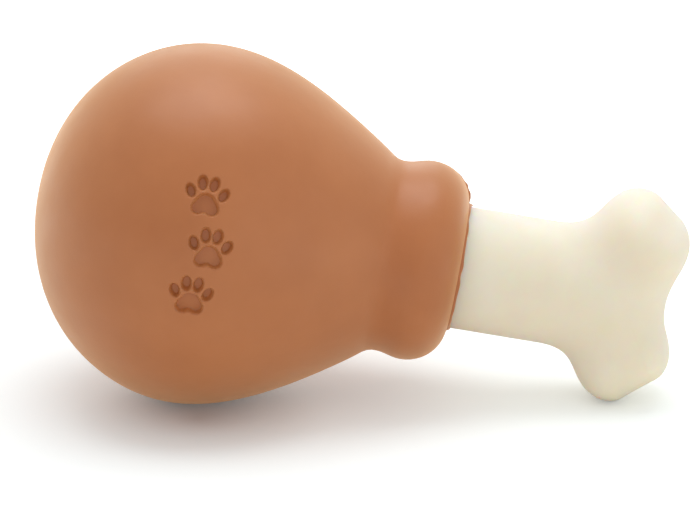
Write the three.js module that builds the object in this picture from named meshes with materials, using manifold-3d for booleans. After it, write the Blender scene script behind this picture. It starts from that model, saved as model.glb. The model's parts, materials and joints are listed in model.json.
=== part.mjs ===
// Dog chew toy in the shape of a roast chicken drumstick.
// A hollow moulded rubber drumstick is pushed onto the round shank of a hard nylon bone.
// Units are millimetres. The toy lies on the plane z = 0, on its rubber belly and the bone's lower knuckle.

import * as THREE from "three";
import { mergeVertices } from "three/addons/utils/BufferGeometryUtils.js";
import Module from "manifold-3d";

const wasm = await Module();
wasm.setup();

// Rubber drumstick, from the blunt end to the mouth that grips the bone
const BELLY_DIAMETER = 84;
const BLUNT_LENGTH = 37.8; // widest section of the belly to the blunt end
const THIGH_LENGTH = 40.1; // widest section to the foot of the tapering thigh
const THIGH_ANGLE = 35; // degrees between the thigh's foot and the axis
const NECK_DROP_LENGTH = 5; // foot of the thigh to the bottom of the neck groove
const NECK_DROP = 2.6; // fall in radius over that length
const NECK_DIAMETER = 44.4; // at the bottom of the neck groove
const CUFF_RISE_LENGTH = 6.7; // neck groove to the crest of the rolled cuff
const CUFF_DIAMETER = 46.6;
const CUFF_ROLL_LENGTH = 9.3; // crest of the cuff to the mouth
const RUBBER_WALL = 10;
const GRIP_LENGTH = 24; // length of the bore that holds the bone

// Fullness of the drumstick's curves: the lengths of their end handles
const BLUNT_FULLNESS = 26.4;
const BELLY_BACK_FULLNESS = 19;
const BELLY_FRONT_FULLNESS = 13.2;
const THIGH_FULLNESS = 13.8;
const NECK_FULLNESS_SHARE = 0.42; // of the length of each curve beside the neck groove

// Nylon bone, measured from the rubber's mouth towards the knuckles
const SHAFT_DIAMETER = 28.6;
const SHAFT_LENGTH = 34.5; // mouth to the middle of the shaft's round end
const UPPER_HEEL_RADIUS = 7.7;
const UPPER_HEEL_AHEAD = 5.1; // beyond the shaft's length
const UPPER_HEEL_OFFSET = 17.7; // above the axis
const UPPER_TOE_RADIUS = 6.8;
const UPPER_TOE_AHEAD = 10.7;
const UPPER_TOE_OFFSET = 14.3;
const LOWER_HEEL_RADIUS = 7.3;
const LOWER_HEEL_AHEAD = 4.8;
const LOWER_HEEL_OFFSET = 18.2; // below the axis
const LOWER_TOE_RADIUS = 5.1;
const LOWER_TOE_AHEAD = 12.5;
const LOWER_TOE_OFFSET = 13.8;
const KNUCKLE_WIDTH = 24.4; // square to the plane of the two knuckles
const KNUCKLE_BLEND = 11.6; // width of the soft fillet between shaft and knuckles

// Shank inside the rubber
const SHANK_OVERHANG = 7; // beyond the grip, into the hollow
const SHANK_NOSE_RADIUS = 5;
const GROOVE_COUNT = 3;
const GROOVE_WIDTH = 2.4;
const GROOVE_DEPTH = 0.8;
const GROOVE_RAMP = 0.5; // axial length of each sloped groove wall

// Fits and rests
const FIT_CLEARANCE = 0.3; // radial, between shank and bore
const BELLY_FLAT = 0.8; // depth by which the soft rubber flattens where it lies
const KNUCKLE_FLAT = 0.3; // depth of the worn flat under the hard bone

// Facets
const RUBBER_SIDES = 56;
const OUTSIDE_STEPS = [11, 11, 4, 4, 8]; // blunt end, thigh, neck drop, cuff rise, cuff roll
const INSIDE_STEPS = [2, 9, 9]; // bore, hollow thigh, hollow blunt end
const BONE_SIDES = 40;
const NOSE_STEPS = 5;
const SHAFT_STEPS = 16;
const FAN_STEPS = 14;
const HALVINGS = 40; // of the interval in which a point or an angle is searched
const WELD_DISTANCE = 1e-4;

const boreRadius = SHAFT_DIAMETER / 2 + FIT_CLEARANCE;
const neckStation = THIGH_LENGTH + NECK_DROP_LENGTH;
const cuffStation = neckStation + CUFF_RISE_LENGTH;
const mouthStation = cuffStation + CUFF_ROLL_LENGTH;
const throatStation = mouthStation - GRIP_LENGTH;
const shankLength = GRIP_LENGTH + SHANK_OVERHANG;

// Closed geometry to solid and back, for cuts

function toSolid(geometry) {
  const bare = geometry.toNonIndexed();
  bare.deleteAttribute("normal");
  bare.deleteAttribute("uv");
  const welded = mergeVertices(bare, WELD_DISTANCE);
  return new wasm.Manifold(
    new wasm.Mesh({
      numProp: 3,
      vertProperties: welded.attributes.position.array,
      triVerts: new Uint32Array(welded.index.array),
    }),
  );
}

function toGeometry(solid) {
  const { vertProperties, triVerts } = solid.getMesh();
  const geometry = new THREE.BufferGeometry();
  geometry.setAttribute("position", new THREE.BufferAttribute(vertProperties, 3));
  geometry.setIndex(new THREE.BufferAttribute(triVerts, 1));
  geometry.computeVertexNormals();
  return geometry;
}

// Rubber drumstick: one profile, turned about y, with the radius along x and the station along y

function bezier(...corners) {
  const points = corners.map(([radius, station]) => new THREE.Vector2(radius, station));
  return new THREE.CubicBezierCurve(...points);
}

function outsideCurves() {
  const belly = BELLY_DIAMETER / 2;
  const neck = NECK_DIAMETER / 2;
  const cuff = CUFF_DIAMETER / 2;
  const foot = neck + NECK_DROP;
  const slope = Math.tan(THREE.MathUtils.degToRad(THIGH_ANGLE));
  const neckHandle = NECK_DROP_LENGTH * NECK_FULLNESS_SHARE;
  const cuffHandle = CUFF_RISE_LENGTH * NECK_FULLNESS_SHARE;
  const bluntEnd = bezier(
    [0, -BLUNT_LENGTH],
    [BLUNT_FULLNESS, -BLUNT_LENGTH],
    [belly, -BELLY_BACK_FULLNESS],
    [belly, 0],
  );
  const thigh = bezier(
    [belly, 0],
    [belly, BELLY_FRONT_FULLNESS],
    [foot + THIGH_FULLNESS * slope, THIGH_LENGTH - THIGH_FULLNESS],
    [foot, THIGH_LENGTH],
  );
  const neckDrop = bezier(
    [foot, THIGH_LENGTH],
    [foot - neckHandle * slope, THIGH_LENGTH + neckHandle],
    [neck, neckStation - neckHandle],
    [neck, neckStation],
  );
  const cuffRise = bezier(
    [neck, neckStation],
    [neck, neckStation + cuffHandle],
    [cuff, cuffStation - cuffHandle],
    [cuff, cuffStation],
  );
  const rollHeight = cuff - boreRadius;
  const cuffRoll = new THREE.EllipseCurve(boreRadius, cuffStation, rollHeight, CUFF_ROLL_LENGTH, 0, Math.PI / 2);
  return [bluntEnd, thigh, neckDrop, cuffRise, cuffRoll];
}

// The hollow follows the belly at the depth of the wall and closes in to the bore at the throat.
function insideCurves() {
  const belly = BELLY_DIAMETER / 2;
  const hollowBelly = belly - RUBBER_WALL;
  const hollowEnd = RUBBER_WALL - BLUNT_LENGTH;
  const share = hollowBelly / belly;
  const slope = Math.tan(THREE.MathUtils.degToRad(THIGH_ANGLE));
  const throatHandle = THIGH_FULLNESS * share;
  const bore = new THREE.LineCurve(
    new THREE.Vector2(boreRadius, mouthStation),
    new THREE.Vector2(boreRadius, throatStation),
  );
  const hollowThigh = bezier(
    [boreRadius, throatStation],
    [boreRadius + throatHandle * slope, throatStation - throatHandle],
    [hollowBelly, BELLY_FRONT_FULLNESS * share],
    [hollowBelly, 0],
  );
  const hollowBlunt = bezier(
    [hollowBelly, 0],
    [hollowBelly, -BELLY_BACK_FULLNESS * share],
    [BLUNT_FULLNESS * share, hollowEnd],
    [0, hollowEnd],
  );
  return [bore, hollowThigh, hollowBlunt];
}

function drumstickGeometry() {
  const curves = [...outsideCurves(), ...insideCurves()];
  const steps = [...OUTSIDE_STEPS, ...INSIDE_STEPS];
  const profile = curves.flatMap((curve, i) => curve.getPoints(steps[i]).slice(i ? 1 : 0));
  return new THREE.LatheGeometry(profile, RUBBER_SIDES);
}

// Nylon bone: a round-ended shaft and two knuckles, blended as distances and skinned along the shaft.
// In the bone's own frame y runs from the rubber's mouth to the knuckles and x points to the upper knuckle.

function smoothUnion(a, b) {
  const near = Math.max(KNUCKLE_BLEND - Math.abs(a - b), 0) / KNUCKLE_BLEND;
  return Math.min(a, b) - (near * near * KNUCKLE_BLEND) / 4;
}

// A knuckle tapers from its heel, which stands furthest from the axis, to its toe, which leads ahead.
// Its round is stretched sideways, so that any radius has the full width.
function knuckleDistance(point, heel, toe, heelRadius, toeRadius) {
  const along = toe.clone().sub(heel);
  const share = new THREE.Vector2(point.x, point.y).sub(heel).dot(along) / along.lengthSq();
  const towardsToe = THREE.MathUtils.clamp(share, 0, 1);
  const centre = heel.clone().lerp(toe, towardsToe);
  const radius = THREE.MathUtils.lerp(heelRadius, toeRadius, towardsToe);
  const stretch = KNUCKLE_WIDTH / 2 / radius;
  return Math.hypot(point.x - centre.x, point.y - centre.y, point.z / stretch) - radius;
}

const upperHeel = new THREE.Vector2(UPPER_HEEL_OFFSET, SHAFT_LENGTH + UPPER_HEEL_AHEAD);
const upperToe = new THREE.Vector2(UPPER_TOE_OFFSET, SHAFT_LENGTH + UPPER_TOE_AHEAD);
const lowerHeel = new THREE.Vector2(-LOWER_HEEL_OFFSET, SHAFT_LENGTH + LOWER_HEEL_AHEAD);
const lowerToe = new THREE.Vector2(-LOWER_TOE_OFFSET, SHAFT_LENGTH + LOWER_TOE_AHEAD);

function boneDistance(point) {
  const shaft = Math.hypot(point.x, Math.max(point.y - SHAFT_LENGTH, 0), point.z) - SHAFT_DIAMETER / 2;
  const upper = knuckleDistance(point, upperHeel, upperToe, UPPER_HEEL_RADIUS, UPPER_TOE_RADIUS);
  const lower = knuckleDistance(point, lowerHeel, lowerToe, LOWER_HEEL_RADIUS, LOWER_TOE_RADIUS);
  return smoothUnion(smoothUnion(shaft, upper), lower);
}

// The place between two values where a test stops being true.
function search(low, high, isBelow) {
  for (let i = 0; i < HALVINGS; i++) {
    const middle = (low + high) / 2;
    if (isBelow(middle)) low = middle;
    else high = middle;
  }
  return (low + high) / 2;
}

// Walks out from the shaft's centre line to the bone's surface.
function surfacePoint(origin, direction) {
  const along = (reach) => origin.clone().addScaledVector(direction, reach);
  const beyond = SHAFT_DIAMETER + upperHeel.length() + lowerHeel.length();
  return along(search(0, beyond, (reach) => boneDistance(along(reach)) < 0));
}

function ring(pointAt) {
  return Array.from({ length: BONE_SIDES }, (_, i) => pointAt((2 * Math.PI * i) / BONE_SIDES));
}

function roundRing(radius, station) {
  return ring((turn) => new THREE.Vector3(radius * Math.cos(turn), station, radius * Math.sin(turn)));
}

// Shank from its rounded nose, with grooves spread over the grip that the rubber swells into.
function shankRings() {
  const radius = SHAFT_DIAMETER / 2;
  const floorHalf = GROOVE_WIDTH / 2 - GROOVE_RAMP;
  const groovePitch = GRIP_LENGTH / (GROOVE_COUNT + 1);
  const rings = [];
  for (let i = 0; i <= NOSE_STEPS; i++) {
    const turn = (Math.PI / 2) * (i / NOSE_STEPS);
    const shortfall = SHANK_NOSE_RADIUS * (1 - Math.sin(turn));
    const advance = SHANK_NOSE_RADIUS * (1 - Math.cos(turn));
    rings.push(roundRing(radius - shortfall, advance - shankLength));
  }
  for (let i = 1; i <= GROOVE_COUNT; i++) {
    const middle = i * groovePitch - GRIP_LENGTH;
    rings.push(roundRing(radius, middle - GROOVE_WIDTH / 2));
    rings.push(roundRing(radius - GROOVE_DEPTH, middle - floorHalf));
    rings.push(roundRing(radius - GROOVE_DEPTH, middle + floorHalf));
    rings.push(roundRing(radius, middle + GROOVE_WIDTH / 2));
  }
  return rings;
}

// Shaft from the mouth: rays square to the axis, closer together towards the knuckles.
function shaftRings() {
  return Array.from({ length: SHAFT_STEPS + 1 }, (_, i) => {
    const toGo = 1 - i / SHAFT_STEPS;
    const centre = new THREE.Vector3(0, SHAFT_LENGTH * (1 - toGo * toGo), 0);
    return ring((turn) => surfacePoint(centre, new THREE.Vector3(Math.cos(turn), 0, Math.sin(turn))));
  });
}

// Knuckles: rays that fan over the end of the shaft.
function knuckleRings() {
  const centre = new THREE.Vector3(0, SHAFT_LENGTH, 0);
  return Array.from({ length: FAN_STEPS - 1 }, (_, i) => {
    const polar = (Math.PI / 2) * (1 - (i + 1) / FAN_STEPS);
    return ring((turn) => {
      const direction = new THREE.Vector3().setFromSphericalCoords(1, polar, Math.PI / 2 - turn);
      return surfacePoint(centre, direction);
    });
  });
}

// Closed skin over rings of equal point counts, shut at both ends by a point.
function skin(start, rings, end) {
  const points = [start, ...rings.flat(), end];
  const faces = [];
  const at = (row, i) => 1 + row * BONE_SIDES + (i % BONE_SIDES);
  const lastRow = rings.length - 1;
  const lastPoint = points.length - 1;
  for (let i = 0; i < BONE_SIDES; i++) {
    faces.push(0, at(0, i), at(0, i + 1));
    for (let row = 0; row < lastRow; row++) {
      faces.push(at(row, i), at(row + 1, i), at(row + 1, i + 1));
      faces.push(at(row, i), at(row + 1, i + 1), at(row, i + 1));
    }
    faces.push(at(lastRow, i), lastPoint, at(lastRow, i + 1));
  }
  const geometry = new THREE.BufferGeometry().setFromPoints(points);
  geometry.setIndex(faces);
  return geometry;
}

function boneGeometry() {
  const nose = new THREE.Vector3(0, -shankLength, 0);
  const tip = surfacePoint(new THREE.Vector3(0, SHAFT_LENGTH, 0), new THREE.Vector3(0, 1, 0));
  return skin(nose, [...shankRings(), ...shaftRings(), ...knuckleRings()], tip);
}

// The toy lies with its axis over the line y = 0 and the bone end down, touching at belly and lower knuckle.

// How far a piece reaches below the middle of the belly when the axis dips by the tilt.
function depthBelow(geometry, tilt, station) {
  const position = geometry.attributes.position;
  let deepest = -Infinity;
  for (let i = 0; i < position.count; i++) {
    const drop = (position.getY(i) + station) * Math.sin(tilt) - position.getX(i) * Math.cos(tilt);
    deepest = Math.max(deepest, drop);
  }
  return deepest;
}

// The tilt at which belly and knuckle stand on one plane, each flattened by its own depth.
function restingTilt(drumstick, bone) {
  return search(0, Math.PI / 4, (tilt) => {
    const bellyDepth = depthBelow(drumstick, tilt, 0) - BELLY_FLAT;
    const knuckleDepth = depthBelow(bone, tilt, mouthStation) - KNUCKLE_FLAT;
    return knuckleDepth < bellyDepth;
  });
}

// Cuts away what lies under the ground once the piece is in its place.
function cutAtGround(geometry, place) {
  geometry.computeBoundingSphere();
  const { center, radius } = geometry.boundingSphere;
  const size = 4 * (center.length() + radius + mouthStation);
  const ground = new THREE.BoxGeometry(size, size, size).translate(0, 0, -size / 2);
  ground.applyMatrix4(place.clone().invert());
  return toGeometry(toSolid(geometry).subtract(toSolid(ground)));
}

const rubber = new THREE.MeshStandardMaterial({ color: 0xb5754b, roughness: 0.6, metalness: 0 });
const nylon = new THREE.MeshStandardMaterial({ color: 0xece3cb, roughness: 0.45, metalness: 0 });

function buildToy() {
  const drumstickShape = drumstickGeometry();
  const boneShape = boneGeometry();
  const tilt = restingTilt(drumstickShape, boneShape);
  const height = depthBelow(drumstickShape, tilt, 0) - BELLY_FLAT;

  const up = new THREE.Vector3(Math.sin(tilt), 0, Math.cos(tilt));
  const ahead = new THREE.Vector3(Math.cos(tilt), 0, -Math.sin(tilt));
  const sideways = new THREE.Vector3(0, 1, 0);
  const lying = new THREE.Matrix4().makeBasis(up, ahead, sideways).setPosition(0, 0, height);
  const boneInToy = new THREE.Matrix4().makeTranslation(0, mouthStation, 0);

  const drumstick = new THREE.Mesh(cutAtGround(drumstickShape, lying), rubber);
  drumstick.name = "rubber_drumstick";
  const bone = new THREE.Mesh(cutAtGround(boneShape, lying.clone().multiply(boneInToy)), nylon);
  bone.name = "nylon_bone";
  bone.applyMatrix4(boneInToy);

  const toy = new THREE.Group();
  toy.applyMatrix4(lying);
  toy.add(drumstick, bone);

  // The origin is on the ground, under the middle of the whole toy.
  const box = new THREE.Box3().setFromObject(toy, true);
  toy.position.x -= box.getCenter(new THREE.Vector3()).x;
  return toy;
}

export default buildToy();
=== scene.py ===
# Chew toy in the shape of a roast drumstick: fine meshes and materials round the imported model.
# Units are metres, in the part's own frame: the toy lies on z = 0 with its axis over the line y = 0.

import json
import math

import bpy
import numpy as np
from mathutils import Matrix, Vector, noise


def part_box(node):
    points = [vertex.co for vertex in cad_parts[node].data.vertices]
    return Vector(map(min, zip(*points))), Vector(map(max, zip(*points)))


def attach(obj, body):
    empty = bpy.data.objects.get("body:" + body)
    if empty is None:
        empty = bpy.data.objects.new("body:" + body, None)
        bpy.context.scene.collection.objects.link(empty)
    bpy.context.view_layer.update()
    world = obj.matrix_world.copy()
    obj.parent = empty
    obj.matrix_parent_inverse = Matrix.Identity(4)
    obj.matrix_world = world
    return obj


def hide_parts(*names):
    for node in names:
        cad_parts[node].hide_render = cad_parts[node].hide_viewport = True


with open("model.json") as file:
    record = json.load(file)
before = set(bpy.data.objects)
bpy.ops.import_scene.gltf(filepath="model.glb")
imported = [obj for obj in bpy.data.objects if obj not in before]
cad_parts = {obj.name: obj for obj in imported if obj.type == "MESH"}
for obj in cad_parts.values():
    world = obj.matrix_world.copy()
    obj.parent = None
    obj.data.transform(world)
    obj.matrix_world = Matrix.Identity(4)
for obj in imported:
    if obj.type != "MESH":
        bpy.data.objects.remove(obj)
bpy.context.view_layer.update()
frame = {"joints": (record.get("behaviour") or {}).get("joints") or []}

# Rubber drumstick: stations run from the belly's widest section towards the bone
BELLY_RADIUS = 0.042
BLUNT_LENGTH = 0.0378
THIGH_LENGTH = 0.0401
THIGH_ANGLE = 35
NECK_DROP_LENGTH = 0.005
NECK_DROP = 0.0026
NECK_RADIUS = 0.0222
CUFF_RISE_LENGTH = 0.0067
CUFF_RADIUS = 0.0233
CUFF_ROLL_LENGTH = 0.0093
RUBBER_WALL = 0.01
GRIP_LENGTH = 0.024
BLUNT_FULLNESS = 0.0264
BELLY_BACK_FULLNESS = 0.019
BELLY_FRONT_FULLNESS = 0.0132
THIGH_FULLNESS = 0.0138
NECK_FULLNESS_SHARE = 0.42
MOUTH_LEAN = 0.0003
BLUNT_LIFT = 0.0004

# Torn lip at the mouth, and flash along the mould's parting plane, which leans back from upright by degrees;
# the flash starts and is full at distances before the mouth
BORE_GAP = 0.00006
LIP_LENGTH = 0.0006
LIP_THICKNESS = 0.0006
LIP_FLARE = 1.6
PARTING_LEAN = 17
RIDGE_HEIGHT = 0.00008
RIDGE_WIDTH = 0.00025
FLASH_HEIGHT = 0.0005
FLASH_COVER = 0.35
FLASH_START = 0.0045
FLASH_FULL = 0.0015

# Track of paw prints pressed into the belly, above its side by the rise in degrees
PRINT_RISE = 9.5
PRINT_STATION = 0.003
PRINT_STEP = 0.0116
PRINT_STAGGER = 0.0013
PRINT_DEPTH = 0.0016
PRINT_EDGE_OUTSIDE = 0.0002
PRINT_EDGE_INSIDE = 0.0002
PRINT_COUNT = 3

# Ovals of one print, in millimetres and degrees: forward, across, half length, half width, lean
MILLIMETRE = 0.001
PAW_PAD = (-0.6, 0, 1.9, 2.1, 0)
PAW_LOBE = (-2.1, 1.6, 1.5, 1.5, 0)
PAW_TOES = [(3.6, 1.35, 1.65, 1.1, 8), (1.5, 3.75, 1.55, 1.05, 24)]
PAW_BLEND = 0.0012

# Nylon bone: measured from the rubber's mouth towards the knuckles
SHAFT_RADIUS = 0.0143
SHAFT_LENGTH = 0.0345
UPPER_HEEL_RADIUS = 0.0077
UPPER_HEEL_AHEAD = 0.0051
UPPER_HEEL_OFFSET = 0.0177
UPPER_TOE_RADIUS = 0.0068
UPPER_TOE_AHEAD = 0.0107
UPPER_TOE_OFFSET = 0.0143
LOWER_HEEL_RADIUS = 0.0073
LOWER_HEEL_AHEAD = 0.0048
LOWER_HEEL_OFFSET = 0.0182
LOWER_TOE_RADIUS = 0.0051
LOWER_TOE_AHEAD = 0.0125
LOWER_TOE_OFFSET = 0.0138
KNUCKLE_WIDTH = 0.0244
KNUCKLE_BLEND = 0.0116
SHANK_OVERHANG = 0.007
SHANK_NOSE_RADIUS = 0.005
GROOVE_COUNT = 3
GROOVE_WIDTH = 0.0024
GROOVE_DEPTH = 0.0008
GROOVE_RAMP = 0.0005

# Waves from moulding and tearing, each with the size of a bump and a seed
RUBBER_WAVE_HEIGHT = 0.00012
RUBBER_WAVE = (0.024, 1)
FLASH_WAVE = (0.0014, 3)
LIP_WAVE_SHARES = [(0.5, (0.003, 5)), (0.6, (0.009, 6))]
BONE_WAVE_HEIGHT = 0.00006
BONE_WAVE = (0.011, 8)
SEED_STEP = (17.3, 5.1, 9.7)

# Mesh: spacing of points, closer where a feature needs it and for a reach on either side
ROW_SPACING = 0.0012
INNER_ROW_SPACING = 0.003
COLUMN_SPACING = 0.0017
FIRST_COLUMN = -1.25 * math.pi
PRINT_SPACING = 0.0002
PRINT_REACH = 0.0075
ROLL_SPACING = 0.0003
ROLL_REACH = 0.006
LIP_SPACING = 0.00012
LIP_REACH = 0.0003
TOP_SEAM_SPACING = 0.00018
FOOT_SEAM_SPACING = 0.00025
SEAM_REACH = 0.001
SHAFT_SPACING = 0.001
FLARE_SPACING = 0.00035
FLARE_START_SHARE = 0.6

# Mesh: numbers of points and steps
CURVE_STEPS = 400
GRIP_STEPS = 100
GRADING_STEPS = 40000
BONE_COLUMNS = 160
FACE_ROWS = 10
NOSE_ROWS = 24
SHANK_ROWS = 150
KNUCKLE_ROWS = 80

# Search for the bone's surface: how far it goes from the shaft's centre line, and how often it halves
SEARCH_REACH = 0.06
SEARCH_HALVINGS = 40

# Materials: screen colours at values of a noise, ranges of roughness, and the screen colour of the sheen
NOISE_RANGE = (0.3, 0.7)
RUBBER_COLOURS = [(0.3, (170, 98, 46)), (0.5, (175, 103, 51)), (0.72, (180, 108, 56))]
RUBBER_ROUGHNESS = (0.38, 0.46)
RUBBER_SHEEN = (255, 208, 155)
NYLON_COLOURS = [(0.3, (235, 230, 211)), (0.5, (237, 233, 216)), (0.7, (239, 236, 222))]
NYLON_ROUGHNESS = (0.65, 0.75)

# Floor: its colour as seen and as it lights the toy, and by distance from its middle the strength of a glow
# that is only seen; the glow is none at the middle, by the belly's foot, which paints the shadow there darker
# (painted shade), and plain white further out
FLOOR_AND_PAINTED_SHADE_MIDDLE = (-0.037, -0.02)
FLOOR_RADIUS = 4
FLOOR_SIDES = 96
FLOOR_GAP = 0.00005
FLOOR_SEEN = (0.85, 0.89, 0.9, 1)
FLOOR_BOUNCE = (0.95, 0.89, 0.8, 1)
FLOOR_GLOW_AND_PAINTED_SHADE = [(0, 0), (0.03, 0.24), (0.1, 0.28), (0.4, 1)]
FLOOR_GLOW_TINT = (0.95, 1, 0.98, 1)

# Light: strength of the white surround, and lamps as name, place, point faced, length, width, watts
SURROUND_LIGHT = 0.72
LAMPS = [
    ("overhead", (-0.01, 0.08, 0.5), (-0.01, 0, 0.08), 0.5, 0.34, 1),
    ("behind", (-0.1, 0.75, 0.36), (-0.03, 0, 0.05), 0.5, 0.5, 0.6),
    ("front_right", (0.55, -0.45, 0.2), (0.05, 0, 0.04), 0.9, 0.9, 0.5),
]

# Photograph: the camera that saw it, and where the belly's centre lies in the picture
PICTURE_WIDTH = 700
PICTURE_HEIGHT = 507
BELLY_ACROSS = 198.2
BELLY_DOWN = 223.8
FOCAL_PIXELS = 4300
SENSOR_WIDTH = 36
CAMERA_DISTANCE = 1
CAMERA_AZIMUTH = 1.95
CAMERA_ELEVATION = 17.5

MOUTH_STATION = THIGH_LENGTH + NECK_DROP_LENGTH + CUFF_RISE_LENGTH + CUFF_ROLL_LENGTH
BORE_RADIUS = SHAFT_RADIUS + BORE_GAP
HOLLOW_END = RUBBER_WALL - BLUNT_LENGTH
THIGH_SLOPE = math.tan(math.radians(THIGH_ANGLE))
SHANK_LENGTH = GRIP_LENGTH + SHANK_OVERHANG
PRINT_TURN = math.radians(PRINT_RISE - 90)
PARTING_TURN = math.radians(PARTING_LEAN)

# The toy's own axes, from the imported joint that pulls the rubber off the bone
AHEAD = np.array(-Vector(frame["joints"][0]["axis"]).normalized())
UP = np.array((-AHEAD[2], 0, AHEAD[0]))
SIDE = np.array((0, 1, 0))


# Shapes by formula


def bezier(corners):
    """Points along a cubic curve, without the first one."""
    t = np.linspace(0, 1, CURVE_STEPS + 1)[1:, None]
    a, b, c, d = np.array(corners, float)
    return a * (1 - t) ** 3 + 3 * b * t * (1 - t) ** 2 + 3 * c * t**2 * (1 - t) + d * t**3


def graded(start, end, spacing, zones):
    """Positions from start to end, one spacing apart or closer, as each zone (low, high, spacing) asks."""
    place = np.linspace(start, end, GRADING_STEPS + 1)
    density = np.full_like(place, 1 / spacing)
    for low, high, close in zones:
        inside = (place >= low) & (place <= high)
        density[inside] = np.maximum(density[inside], 1 / close)
    count = np.concatenate([[0], np.cumsum((density[1:] + density[:-1]) / 2 * np.diff(place))])
    steps = math.ceil(count[-1])
    return np.interp(np.linspace(0, count[-1], steps + 1), count, place)


def smooth_step(low, high, value):
    t = np.clip((value - low) / (high - low), 0, 1)
    return t * t * (3 - 2 * t)


def smooth_union(a, b, blend):
    near = np.maximum(blend - np.abs(a - b), 0) / blend
    return np.minimum(a, b) - near * near * blend / 4


def waves(points, size, seed):
    """Smooth noise from -1 to 1 at each point, with bumps about one size across."""
    flat = points.reshape(-1, 3) / size
    shift = Vector([seed * step for step in SEED_STEP])
    values = [noise.noise(Vector(p) + shift) for p in flat]
    return np.array(values).reshape(points.shape[:-1])


def closed_mesh(name, start, rows, end):
    """Mesh over rows of equal point counts, each a ring, shut at both ends by a point."""
    count, columns = rows.shape[:2]
    points = np.concatenate([[start], rows.reshape(-1, 3), [end]])
    index = 1 + np.arange(count * columns).reshape(count, columns)
    beside = np.roll(index, -1, axis=1)
    quads = np.stack([index[:-1], index[1:], beside[1:], beside[:-1]], axis=-1).reshape(-1, 4)
    first = np.stack([np.zeros(columns, int), index[0], beside[0]], axis=-1)
    last = np.stack([index[-1], np.full(columns, len(points) - 1), beside[-1]], axis=-1)
    mesh = bpy.data.meshes.new(name)
    mesh.from_pydata(points.tolist(), [], first.tolist() + quads.tolist() + last.tolist())
    mesh.polygons.foreach_set("use_smooth", np.ones(len(mesh.polygons), bool))
    mesh.update()
    piece = bpy.data.objects.new(name, mesh)
    bpy.context.scene.collection.objects.link(piece)
    return piece


# Rubber drumstick


def belly_and_thigh():
    """The plain taper as (station, radius), from the blunt end to the top of the neck groove."""
    foot = NECK_RADIUS + NECK_DROP
    blunt_end = [
        (-BLUNT_LENGTH, 0),
        (-BLUNT_LENGTH, BLUNT_FULLNESS),
        (-BELLY_BACK_FULLNESS, BELLY_RADIUS),
        (0, BELLY_RADIUS),
    ]
    thigh = [
        (0, BELLY_RADIUS),
        (BELLY_FRONT_FULLNESS, BELLY_RADIUS),
        (THIGH_LENGTH - THIGH_FULLNESS, foot + THIGH_FULLNESS * THIGH_SLOPE),
        (THIGH_LENGTH, foot),
    ]
    return np.concatenate([blunt_end[:1], bezier(blunt_end), bezier(thigh)])


def neck_and_cuff():
    """Neck groove, rolled cuff and torn lip as (station, radius), from the thigh to the bore."""
    foot = NECK_RADIUS + NECK_DROP
    neck = THIGH_LENGTH + NECK_DROP_LENGTH
    crest = neck + CUFF_RISE_LENGTH
    neck_handle = NECK_DROP_LENGTH * NECK_FULLNESS_SHARE
    cuff_handle = CUFF_RISE_LENGTH * NECK_FULLNESS_SHARE
    neck_drop = [
        (THIGH_LENGTH, foot),
        (THIGH_LENGTH + neck_handle, foot - neck_handle * THIGH_SLOPE),
        (neck - neck_handle, NECK_RADIUS),
        (neck, NECK_RADIUS),
    ]
    cuff_rise = [
        (neck, NECK_RADIUS),
        (neck + cuff_handle, NECK_RADIUS),
        (crest - cuff_handle, CUFF_RADIUS),
        (crest, CUFF_RADIUS),
    ]
    roll_height = CUFF_RADIUS - BORE_RADIUS
    full_turn = math.acos(LIP_THICKNESS / roll_height)
    turn = np.linspace(0, full_turn, CURVE_STEPS)[1:]
    cuff_roll = np.stack(
        [crest + CUFF_ROLL_LENGTH * np.sin(turn), BORE_RADIUS + roll_height * np.cos(turn)],
        axis=1,
    )
    lip = [
        (MOUTH_STATION, BORE_RADIUS + LIP_THICKNESS),
        (MOUTH_STATION + LIP_LENGTH, BORE_RADIUS + LIP_THICKNESS),
        (MOUTH_STATION + LIP_LENGTH * LIP_FLARE, BORE_RADIUS),
        (MOUTH_STATION, BORE_RADIUS),
    ]
    return np.concatenate([bezier(neck_drop), bezier(cuff_rise), cuff_roll, bezier(lip)])


def hollow_profile():
    """Inside of the rubber as (station, radius), from the mouth through the bore to the hollow's back."""
    belly = BELLY_RADIUS - RUBBER_WALL
    share = belly / BELLY_RADIUS
    throat = MOUTH_STATION - GRIP_LENGTH
    handle = THIGH_FULLNESS * share
    depths = GRIP_LENGTH * np.linspace(0, 1, GRIP_STEPS + 1)[1:]
    grip = np.stack([MOUTH_STATION - depths, np.full_like(depths, BORE_RADIUS)], axis=1)
    thigh = [
        (throat, BORE_RADIUS),
        (throat - handle, BORE_RADIUS + handle * THIGH_SLOPE),
        (BELLY_FRONT_FULLNESS * share, belly),
        (0, belly),
    ]
    blunt_end = [
        (0, belly),
        (-BELLY_BACK_FULLNESS * share, belly),
        (HOLLOW_END, BLUNT_FULLNESS * share),
        (HOLLOW_END, 0),
    ]
    return np.concatenate([grip, bezier(thigh), bezier(blunt_end)])


def belly_centre(profile):
    """Middle of the belly's widest section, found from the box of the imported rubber."""
    low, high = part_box("rubber_drumstick")
    station, radius = profile.T
    x = low.x + np.max(radius * UP[0] - station * AHEAD[0])
    z = high.z - np.max(radius * UP[2] + station * AHEAD[2])
    return np.array((x, 0, z))


def arc_lengths(profile):
    return np.concatenate([[0], np.cumsum(np.linalg.norm(np.diff(profile, axis=0), axis=1))])


def respaced(profile, spacing, zones):
    """The profile with points at graded arc lengths; zones are (low station, high station, spacing)."""
    arc = arc_lengths(profile)
    arc_zones = []
    for low, high, close in zones:
        inside = arc[(profile[:, 0] >= low) & (profile[:, 0] <= high)]
        arc_zones.append((inside.min(), inside.max(), close))
    places = graded(0, arc[-1], spacing, arc_zones)
    return np.stack([np.interp(places, arc, profile[:, i]) for i in range(2)], axis=1)


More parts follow.
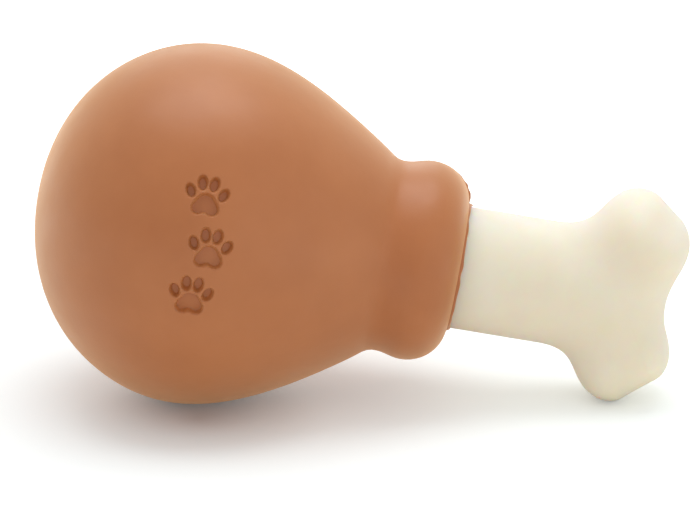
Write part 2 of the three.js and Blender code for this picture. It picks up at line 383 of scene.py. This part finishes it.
def profile_normals(profile):
    along = np.gradient(profile, axis=0)
    normals = np.stack([-along[:, 1], along[:, 0]], axis=1)
    return normals / np.linalg.norm(normals, axis=1, keepdims=True)


def skin_rows(outside):
    """Stations and radii of the rows of the skin, without its two end points, and which rows are outside."""
    print_zone = (PRINT_STATION - PRINT_REACH, PRINT_STATION + PRINT_REACH, PRINT_SPACING)
    roll_zone = (MOUTH_STATION - ROLL_REACH, MOUTH_STATION + LIP_LENGTH, ROLL_SPACING)
    lip_zone = (MOUTH_STATION - LIP_REACH, MOUTH_STATION + LIP_LENGTH, LIP_SPACING)
    outer = respaced(outside, ROW_SPACING, [print_zone, roll_zone, lip_zone])
    inner = respaced(np.concatenate([outside[-1:], hollow_profile()]), INNER_ROW_SPACING, [])[1:]
    rows = np.concatenate([outer, inner])[1:-1]
    return rows, np.arange(len(rows)) < len(outer) - 1


def skin_turns():
    """Turns of the columns of the skin about the toy's axis, from straight up towards the far side."""
    half_track = PRINT_COUNT * PRINT_STEP / 2 / BELLY_RADIUS
    seam = SEAM_REACH / BELLY_RADIUS
    foot_seam = PARTING_TURN - math.pi
    zones = [
        (PRINT_TURN - half_track, PRINT_TURN + half_track, PRINT_SPACING / BELLY_RADIUS),
        (PARTING_TURN - seam, PARTING_TURN + seam, TOP_SEAM_SPACING / BELLY_RADIUS),
        (foot_seam - seam, foot_seam + seam, FOOT_SEAM_SPACING / BELLY_RADIUS),
    ]
    return graded(FIRST_COLUMN, FIRST_COLUMN + 2 * math.pi, COLUMN_SPACING / BELLY_RADIUS, zones)[:-1]


def oval_distance(forward, across, oval, side):
    """About the distance to the edge of a leaning oval, negative inside; side -1 gives its mirror image."""
    ahead, aside, half_length, half_width, lean = oval
    turn = math.radians(lean * side)
    x = forward - ahead * MILLIMETRE
    y = across - aside * side * MILLIMETRE
    along = x * math.cos(turn) + y * math.sin(turn)
    athwart = y * math.cos(turn) - x * math.sin(turn)
    return (np.hypot(along / half_length, athwart / half_width) - MILLIMETRE) * min(half_length, half_width)


def paw_distance(forward, across):
    """Distance to the outline of a paw print, whose toes point forward, negative inside."""
    found = oval_distance(forward, across, PAW_PAD, 1)
    for side in (-1, 1):
        found = smooth_union(found, oval_distance(forward, across, PAW_LOBE, side), PAW_BLEND)
    for side in (-1, 1):
        for toe in PAW_TOES:
            found = np.minimum(found, oval_distance(forward, across, toe, side))
    return found


def print_recess(turn, station):
    """Depth of the pressed paw prints at each turn and station of the belly."""
    along = (turn - PRINT_TURN) * BELLY_RADIUS
    across = station - PRINT_STATION
    depth = np.zeros(np.broadcast(turn, station).shape)
    for i in range(PRINT_COUNT):
        middle = (i - (PRINT_COUNT - 1) / 2) * PRINT_STEP
        aside = PRINT_STAGGER * (1 if i % 2 else -1)
        outline = paw_distance(along - middle, across - aside)
        inward = (PRINT_EDGE_OUTSIDE - outline) / (PRINT_EDGE_OUTSIDE + PRINT_EDGE_INSIDE)
        depth = np.maximum(depth, np.clip(inward, 0, 1))
    return depth * PRINT_DEPTH


def moulded_height(points, station, radius, turns):
    """How far the outside stands off its plain form: waves, parting line, torn flash and pressed prints."""
    from_parting = turns - PARTING_TURN
    seam_shape = np.exp(-((radius * np.sin(from_parting) / RIDGE_WIDTH) ** 2))
    on_roll = smooth_step(MOUTH_STATION - FLASH_START, MOUTH_STATION - FLASH_FULL, station)
    on_top = np.cos(from_parting) > 0
    torn = np.clip(FLASH_COVER + waves(points, *FLASH_WAVE), 0, 1)
    height = RUBBER_WAVE_HEIGHT * waves(points, *RUBBER_WAVE)
    height += seam_shape * (RIDGE_HEIGHT + FLASH_HEIGHT * on_roll * on_top * torn)
    return height - print_recess(turns, station)


def blunt_lift(station):
    """How far and which way the blunt end is lifted at a station."""
    share = np.asarray(smooth_step(0, -BLUNT_LENGTH, station))
    return BLUNT_LIFT * share[..., None] * UP


def settled(points, station, turns):
    """The skin with its mouth leaning, blunt end lifted, lip ragged and belly flat on the floor."""
    lean = MOUTH_LEAN * smooth_step(THIGH_LENGTH, MOUTH_STATION, station) * np.cos(turns)
    points = points + lean[..., None] * AHEAD
    points += blunt_lift(station)
    past_mouth = np.maximum(station - MOUTH_STATION, 0)
    stretch = sum(share * waves(points, *wave) for share, wave in LIP_WAVE_SHARES)
    points += (past_mouth * stretch)[..., None] * AHEAD
    points[..., 2] = np.maximum(points[..., 2], 0)
    return points


def make_drumstick():
    """The rubber as one closed skin, outside and hollow; gives the middle of its belly."""
    outside = np.concatenate([belly_and_thigh(), neck_and_cuff()])
    belly = belly_centre(outside)
    rows, is_outer = skin_rows(outside)
    turns = skin_turns()
    station, radius = rows[:, :1], rows[:, 1:]
    normals = profile_normals(rows)

    out = np.cos(turns)[:, None] * UP + np.sin(turns)[:, None] * SIDE
    points = belly + station[..., None] * AHEAD + radius[..., None] * out
    direction = normals[:, :1, None] * AHEAD + normals[:, 1:, None] * out
    height = moulded_height(points, station, radius, turns) * is_outer[:, None]
    points = settled(points + direction * height[..., None], station, turns)

    start, end = [belly + place * AHEAD + blunt_lift(place) for place in (-BLUNT_LENGTH, HOLLOW_END)]
    piece = closed_mesh("rubber_drumstick_skin", start, points, end)
    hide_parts("rubber_drumstick")
    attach(piece, "drumstick")
    piece.data.materials.append(rubber_material())
    return belly


# Nylon bone: points as (up, ahead of the mouth, sideways)


def knuckle_distance(points, heel, toe, heel_radius, toe_radius):
    """Distance to a knuckle that tapers from heel to toe and is stretched sideways to the full width."""
    along = toe - heel
    share = np.clip((points[..., :2] - heel) @ along / (along @ along), 0, 1)
    aside = points[..., :2] - heel - share[..., None] * along
    radius = heel_radius + (toe_radius - heel_radius) * share
    stretch = KNUCKLE_WIDTH / 2 / radius
    return np.sqrt(aside[..., 0] ** 2 + aside[..., 1] ** 2 + (points[..., 2] / stretch) ** 2) - radius


def bone_distance(points):
    """Distance to the bone, negative inside."""
    beyond = np.maximum(points[..., 1] - SHAFT_LENGTH, 0)
    shaft = np.sqrt(points[..., 0] ** 2 + beyond**2 + points[..., 2] ** 2) - SHAFT_RADIUS
    upper_heel = np.array([UPPER_HEEL_OFFSET, SHAFT_LENGTH + UPPER_HEEL_AHEAD])
    upper_toe = np.array([UPPER_TOE_OFFSET, SHAFT_LENGTH + UPPER_TOE_AHEAD])
    lower_heel = np.array([-LOWER_HEEL_OFFSET, SHAFT_LENGTH + LOWER_HEEL_AHEAD])
    lower_toe = np.array([-LOWER_TOE_OFFSET, SHAFT_LENGTH + LOWER_TOE_AHEAD])
    upper = knuckle_distance(points, upper_heel, upper_toe, UPPER_HEEL_RADIUS, UPPER_TOE_RADIUS)
    lower = knuckle_distance(points, lower_heel, lower_toe, LOWER_HEEL_RADIUS, LOWER_TOE_RADIUS)
    return smooth_union(smooth_union(shaft, upper, KNUCKLE_BLEND), lower, KNUCKLE_BLEND)


def bone_surface(origins, directions):
    """Walks out from the shaft's centre line to the bone's surface by halving."""
    low = np.zeros(directions.shape[:-1])
    high = np.full(directions.shape[:-1], SEARCH_REACH)
    for _ in range(SEARCH_HALVINGS):
        middle = (low + high) / 2
        inside = bone_distance(origins + directions * middle[..., None]) < 0
        low = np.where(inside, middle, low)
        high = np.where(inside, high, middle)
    return origins + directions * low[..., None]


def shank_outline():
    """Shank from nose to mouth as (ahead of the mouth, radius)."""
    turn = np.linspace(0, math.pi / 2, NOSE_ROWS)
    nose_ahead = SHANK_NOSE_RADIUS * (1 - np.cos(turn)) - SHANK_LENGTH
    nose_radius = SHAFT_RADIUS - SHANK_NOSE_RADIUS * (1 - np.sin(turn))
    face_radius = np.linspace(0, nose_radius[0], FACE_ROWS + 1)[1:]
    face_ahead = np.full_like(face_radius, -SHANK_LENGTH)
    ahead = np.linspace(SHANK_NOSE_RADIUS - SHANK_LENGTH, 0, SHANK_ROWS)[1:]
    radius = np.full_like(ahead, SHAFT_RADIUS)
    pitch = GRIP_LENGTH / (GROOVE_COUNT + 1)
    for i in range(1, GROOVE_COUNT + 1):
        aside = np.abs(ahead - (i * pitch - GRIP_LENGTH))
        radius -= GROOVE_DEPTH * smooth_step(GROOVE_WIDTH / 2, GROOVE_WIDTH / 2 - GROOVE_RAMP, aside)
    all_ahead = np.concatenate([face_ahead, nose_ahead[1:], ahead])
    all_radius = np.concatenate([face_radius, nose_radius[1:], radius])
    return all_ahead, all_radius


def shank_rows(round_way):
    """Rings of points along the shank."""
    ahead, radius = shank_outline()
    rows = radius[:, None, None] * round_way
    rows[..., 1] = ahead[:, None]
    return rows


def shaft_rows(round_way):
    """Rings of points from the mouth to the shaft's end, where it spreads into the knuckles."""
    flare_zone = (SHAFT_LENGTH * FLARE_START_SHARE, SHAFT_LENGTH, FLARE_SPACING)
    ahead = graded(0, SHAFT_LENGTH, SHAFT_SPACING, [flare_zone])[1:]
    origins = np.zeros((len(ahead), *round_way.shape))
    origins[..., 1] = ahead[:, None]
    return bone_surface(origins, np.broadcast_to(round_way, origins.shape))


def knuckle_fan(round_way):
    """Directions from the shaft's end, in rings that close from sideways to straight ahead."""
    lift = np.linspace(0, math.pi / 2, KNUCKLE_ROWS + 1)[1:-1]
    fan = np.cos(lift)[:, None, None] * round_way
    fan[..., 1] = np.sin(lift)[:, None]
    return fan


def make_bone(belly):
    """The bone as one closed skin, from the shank's nose to the knuckles."""
    turns = np.linspace(0, 2 * math.pi, BONE_COLUMNS + 1)[:-1]
    round_way = np.stack([np.cos(turns), np.zeros_like(turns), np.sin(turns)], axis=1)
    straight_rows = np.concatenate([shank_rows(round_way), shaft_rows(round_way)])
    fan = knuckle_fan(round_way)
    shaft_end = np.array([[0, SHAFT_LENGTH, 0]])
    knuckle_rows = bone_surface(np.broadcast_to(shaft_end, fan.shape), fan)
    tip = bone_surface(shaft_end, np.array([[0, 1, 0]]))[0]

    rows = np.concatenate([straight_rows, knuckle_rows])
    outward = np.concatenate([np.broadcast_to(round_way, straight_rows.shape), fan])
    height = BONE_WAVE_HEIGHT * waves(rows, *BONE_WAVE) * (rows[..., 1] > 0)
    axes = np.array([UP, AHEAD, SIDE])
    mouth = belly + MOUTH_STATION * AHEAD
    points = mouth + (rows + outward * height[..., None]) @ axes
    points[..., 2] = np.maximum(points[..., 2], 0)

    piece = closed_mesh("nylon_bone_skin", mouth - SHANK_LENGTH * AHEAD, points, mouth + tip @ axes)
    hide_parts("nylon_bone")
    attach(piece, "bone")
    piece.data.materials.append(nylon_material())


# Materials


def linear(red, green, blue):
    """A colour given as screen values from 0 to 255, as linear light by the sRGB formula."""
    values = [c / 255 for c in (red, green, blue)]
    return tuple(c / 12.92 if c <= 0.04045 else ((c + 0.055) / 1.055) ** 2.4 for c in values) + (1,)


def new_material(name):
    material = bpy.data.materials.new(name)
    material.use_nodes = True
    tree = material.node_tree
    return material, tree, tree.nodes["Principled BSDF"]


def noise_node(tree, coordinates, scale, detail, roughness=0.5):
    node = tree.nodes.new("ShaderNodeTexNoise")
    node.inputs["Scale"].default_value = scale
    node.inputs["Detail"].default_value = detail
    node.inputs["Roughness"].default_value = roughness
    tree.links.new(coordinates, node.inputs["Vector"])
    return node.outputs["Fac"]


def ramp_node(tree, value, stops):
    node = tree.nodes.new("ShaderNodeValToRGB")
    while len(node.color_ramp.elements) < len(stops):
        node.color_ramp.elements.new(0.5)
    for element, (place, colour) in zip(node.color_ramp.elements, stops):
        element.position = place
        element.color = colour
    tree.links.new(value, node.inputs["Fac"])
    return node.outputs["Color"]


def range_node(tree, value, span, result):
    """Takes a value from one span (low, high) to another."""
    node = tree.nodes.new("ShaderNodeMapRange")
    for name, number in zip(("From Min", "From Max", "To Min", "To Max"), (*span, *result)):
        node.inputs[name].default_value = number
    tree.links.new(value, node.inputs["Value"])
    return node.outputs["Result"]


def bump_node(tree, height, strength, distance, normal=None):
    node = tree.nodes.new("ShaderNodeBump")
    node.inputs["Strength"].default_value = strength
    node.inputs["Distance"].default_value = distance
    tree.links.new(height, node.inputs["Height"])
    if normal:
        tree.links.new(normal, node.inputs["Normal"])
    return node.outputs["Normal"]


def math_node(tree, operation, a, b):
    node = tree.nodes.new("ShaderNodeMath")
    node.operation = operation
    tree.links.new(a, node.inputs[0])
    tree.links.new(b, node.inputs[1])
    return node.outputs["Value"]


def rubber_material():
    """Through-coloured natural rubber: satin, a little cloudy, with a very fine moulded grain."""
    material, tree, shader = new_material("natural_rubber")
    place = tree.nodes.new("ShaderNodeTexCoord").outputs["Object"]
    cloud = noise_node(tree, place, scale=48, detail=4, roughness=0.55)
    colour = ramp_node(tree, cloud, [(value, linear(*screen)) for value, screen in RUBBER_COLOURS])
    tree.links.new(colour, shader.inputs["Base Color"])
    patches = noise_node(tree, place, scale=130, detail=3)
    tree.links.new(range_node(tree, patches, NOISE_RANGE, RUBBER_ROUGHNESS), shader.inputs["Roughness"])
    grain = bump_node(tree, noise_node(tree, place, scale=2600, detail=2), strength=0.12, distance=0.0001)
    dimples = noise_node(tree, place, scale=420, detail=3)
    normal = bump_node(tree, dimples, strength=0.1, distance=0.0002, normal=grain)
    tree.links.new(normal, shader.inputs["Normal"])
    shader.inputs["Specular IOR Level"].default_value = 0.55
    shader.inputs["Sheen Weight"].default_value = 0.75
    shader.inputs["Sheen Roughness"].default_value = 0.5
    shader.inputs["Sheen Tint"].default_value = linear(*RUBBER_SHEEN)
    shader.inputs["Subsurface Weight"].default_value = 0.08
    shader.inputs["Subsurface Radius"].default_value = (1, 0.45, 0.25)
    shader.inputs["Subsurface Scale"].default_value = 0.002
    return material


def nylon_material():
    """Unfilled nylon: cream, translucent, matt from the mould."""
    material, tree, shader = new_material("cream_nylon")
    place = tree.nodes.new("ShaderNodeTexCoord").outputs["Object"]
    cloud = noise_node(tree, place, scale=60, detail=3)
    colour = ramp_node(tree, cloud, [(value, linear(*screen)) for value, screen in NYLON_COLOURS])
    tree.links.new(colour, shader.inputs["Base Color"])
    patches = noise_node(tree, place, scale=160, detail=3)
    tree.links.new(range_node(tree, patches, NOISE_RANGE, NYLON_ROUGHNESS), shader.inputs["Roughness"])
    grain = bump_node(tree, noise_node(tree, place, scale=2200, detail=2), strength=0.06, distance=0.0001)
    dimples = noise_node(tree, place, scale=300, detail=2)
    normal = bump_node(tree, dimples, strength=0.08, distance=0.0002, normal=grain)
    tree.links.new(normal, shader.inputs["Normal"])
    shader.inputs["Specular IOR Level"].default_value = 0.1
    shader.inputs["Subsurface Weight"].default_value = 0.8
    shader.inputs["Subsurface Radius"].default_value = (1, 0.6, 0.3)
    shader.inputs["Subsurface Scale"].default_value = 0.01
    return material


# Floor, light and camera


def seen_directly(tree):
    """1 for rays from the camera, a mirror or glass, and 0 for the light that falls on the toy."""
    path = tree.nodes.new("ShaderNodeLightPath").outputs
    camera_or_glossy = math_node(tree, "MAXIMUM", path["Is Camera Ray"], path["Is Glossy Ray"])
    return math_node(tree, "MAXIMUM", camera_or_glossy, path["Is Transmission Ray"])


def floor_material():
    """White that keeps the toy's shadow, with a glow that is only seen: none by the belly's foot, which
    paints the shadow there darker (painted shade), and growing to plain white further out.
    """
    material, tree, shader = new_material("white_floor")
    tree.nodes.remove(shader)
    seen = seen_directly(tree)
    tint = tree.nodes.new("ShaderNodeMixRGB")
    tint.inputs["Color1"].default_value = FLOOR_BOUNCE
    tint.inputs["Color2"].default_value = FLOOR_SEEN
    tree.links.new(seen, tint.inputs["Fac"])
    diffuse = tree.nodes.new("ShaderNodeBsdfDiffuse")
    tree.links.new(tint.outputs["Color"], diffuse.inputs["Color"])

    # Painted shade: the glow grows with distance from the floor's middle by the belly's foot, so the shadow
    # near the foot is painted darker than further out
    reach = tree.nodes.new("ShaderNodeVectorMath")
    reach.operation = "LENGTH"
    tree.links.new(tree.nodes.new("ShaderNodeTexCoord").outputs["Object"], reach.inputs[0])
    glow_and_painted_shade = ramp_node(tree, reach.outputs["Value"], [(r, (glow, glow, glow, 1)) for r, glow in FLOOR_GLOW_AND_PAINTED_SHADE])
    emission = tree.nodes.new("ShaderNodeEmission")
    emission.inputs["Color"].default_value = FLOOR_GLOW_TINT
    tree.links.new(math_node(tree, "MULTIPLY", glow_and_painted_shade, seen), emission.inputs["Strength"])

    both = tree.nodes.new("ShaderNodeAddShader")
    tree.links.new(diffuse.outputs["BSDF"], both.inputs[0])
    tree.links.new(emission.outputs["Emission"], both.inputs[1])
    tree.links.new(both.outputs["Shader"], tree.nodes["Material Output"].inputs["Surface"])
    return material


def make_floor():
    """A disc just under the flats that the toy lies on, so that no two faces share a plane."""
    # The disc's middle, by the belly's foot, is where the glow's painted shade is darkest
    place = (*FLOOR_AND_PAINTED_SHADE_MIDDLE, -FLOOR_GAP)
    bpy.ops.mesh.primitive_circle_add(
        vertices=FLOOR_SIDES, radius=FLOOR_RADIUS, fill_type="NGON", location=place
    )
    floor = bpy.context.object
    floor.name = "floor"
    floor.data.materials.append(floor_material())


def make_world():
    world = bpy.data.worlds.new("white_studio")
    bpy.context.scene.world = world
    world.use_nodes = True
    tree = world.node_tree
    surround = tree.nodes["Background"]
    surround.inputs["Color"].default_value = (1, 1, 1, 1)
    strength = range_node(tree, seen_directly(tree), (0, 1), (SURROUND_LIGHT, 1))
    tree.links.new(strength, surround.inputs["Strength"])


def add_lamp(name, place, target, length, width, power):
    data = bpy.data.lights.new(name, "AREA")
    data.shape = "ELLIPSE"
    data.size = length
    data.size_y = width
    data.energy = power
    lamp = bpy.data.objects.new(name, data)
    bpy.context.scene.collection.objects.link(lamp)
    lamp.location = place
    lamp.rotation_euler = (Vector(target) - Vector(place)).to_track_quat("-Z", "Y").to_euler()


def make_camera(belly):
    data = bpy.data.cameras.new("camera")
    data.sensor_width = SENSOR_WIDTH
    data.lens = FOCAL_PIXELS / PICTURE_WIDTH * SENSOR_WIDTH
    camera = bpy.data.objects.new("camera", data)
    bpy.context.scene.collection.objects.link(camera)
    lift = math.radians(CAMERA_ELEVATION)
    swing = math.radians(CAMERA_AZIMUTH)
    right = Vector((math.cos(swing), math.sin(swing), 0))
    back = Vector((math.sin(swing) * math.cos(lift), -math.cos(swing) * math.cos(lift), math.sin(lift)))
    top = back.cross(right)
    pixel = CAMERA_DISTANCE / FOCAL_PIXELS
    aside = right * (PICTURE_WIDTH / 2 - BELLY_ACROSS) - top * (PICTURE_HEIGHT / 2 - BELLY_DOWN)
    camera.location = Vector(belly) + back * CAMERA_DISTANCE + aside * pixel
    camera.rotation_euler = (-back).to_track_quat("-Z", "Y").to_euler()
    bpy.context.scene.camera = camera


belly_middle = make_drumstick()
make_bone(belly_middle)
make_floor()
make_world()
for lamp_settings in LAMPS:
    add_lamp(*lamp_settings)
make_camera(belly_middle)
bpy.context.scene.view_settings.view_transform = "Standard"
